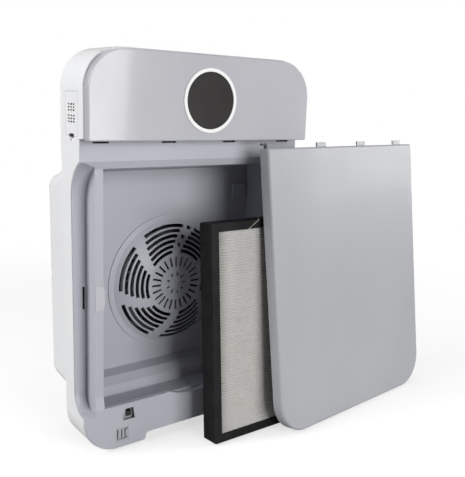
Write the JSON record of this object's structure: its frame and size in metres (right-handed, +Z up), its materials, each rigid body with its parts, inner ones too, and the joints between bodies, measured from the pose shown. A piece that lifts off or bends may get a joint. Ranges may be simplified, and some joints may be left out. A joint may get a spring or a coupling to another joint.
{
  "type": "room air purifier",
  "caption": "Slim upright room air purifier with a round display, shown open with its pleated filter and front cover taken out and stood in front.",
  "frame": {"origin": "on the floor under the middle of the housing", "axes": "+X to the right of someone facing the display, +Y towards the back, +Z up"},
  "size_m": [0.6125, 0.2212, 0.541],
  "materials": {
    "shell_white": "smooth satin white",
    "frame_grey": "fine-grained light grey",
    "impeller_grey": "plain moulded",
    "motor_steel": "drawn can",
    "screw_steel": "zinc plated",
    "head_silver": "glossy silver grey",
    "ring_white": "polished white",
    "lens_dark": "polished smoked",
    "board_green": "solder mask",
    "grille_grey": "fine-grained",
    "module_black": "plain moulded",
    "pad_rubber": "plain",
    "clip_grey": "satin",
    "catch_grey": "plain moulded",
    "plunger_dark": "plain moulded",
    "filter_black": "coated board",
    "filter_paper": "fine pleated paper",
    "seal_foam": "open foam",
    "pull_strip": "thin woven strip",
    "cover_grey": "smooth satin"
  },
  "bodies": {
    "housing": {"rear_shell": "shell_white", "front_frame": "frame_grey", "fan_guard": "frame_grey", "motor": "motor_steel", "motor_screws": "screw_steel", "fan_scroll": "frame_grey", "head_panel": "head_silver", "display_ring": "ring_white", "display_lens": "lens_dark", "display_board": "board_green", "top_grille": "grille_grey", "sensor_module": "module_black", "main_board": "board_green", "supply_board": "board_green", "power_inlet": "module_black", "shell_screws": "screw_steel", "foot_pads": "pad_rubber", "filter_clips": "clip_grey", "cover_catches": "catch_grey", "interlock_switch": "catch_grey"},
    "fan_wheel": {"impeller": "impeller_grey", "motor_shaft": "screw_steel", "impeller_nut": "screw_steel"},
    "sensor_cover": {"sensor_door": "shell_white"},
    "interlock": {"interlock_plunger": "plunger_dark"},
    "filter": {"filter_frame": "filter_black", "filter_media": "filter_paper", "filter_seal": "seal_foam", "filter_pull": "pull_strip"},
    "cover": {"front_cover": "cover_grey"}
  },
  "joints": [
    {"name": "fan_spin", "type": "hinge", "parent": "housing", "child": "fan_wheel", "pos_m": [0, 0.043, 0.21], "axis": [0, 1, 0], "continuous": true},
    {"name": "sensor_door_pull", "type": "slide", "parent": "housing", "child": "sensor_cover", "axis": [-1, 0, 0], "range_m": [0, 0.03]},
    {"name": "interlock_press", "type": "slide", "parent": "housing", "child": "interlock", "axis": [0, 1, 0], "range_m": [0, 0.003], "stiffness_N_per_m": 300, "springref_m": -0.002},
    {"name": "filter_slide", "type": "slide", "parent": "housing", "child": "filter", "axis": [-1, 0, 0], "range_m": [0, 0.42]},
    {"name": "cover_slide", "type": "slide", "parent": "housing", "child": "cover", "axis": [0, -1, 0], "range_m": [0, 0.3]}
  ]
}
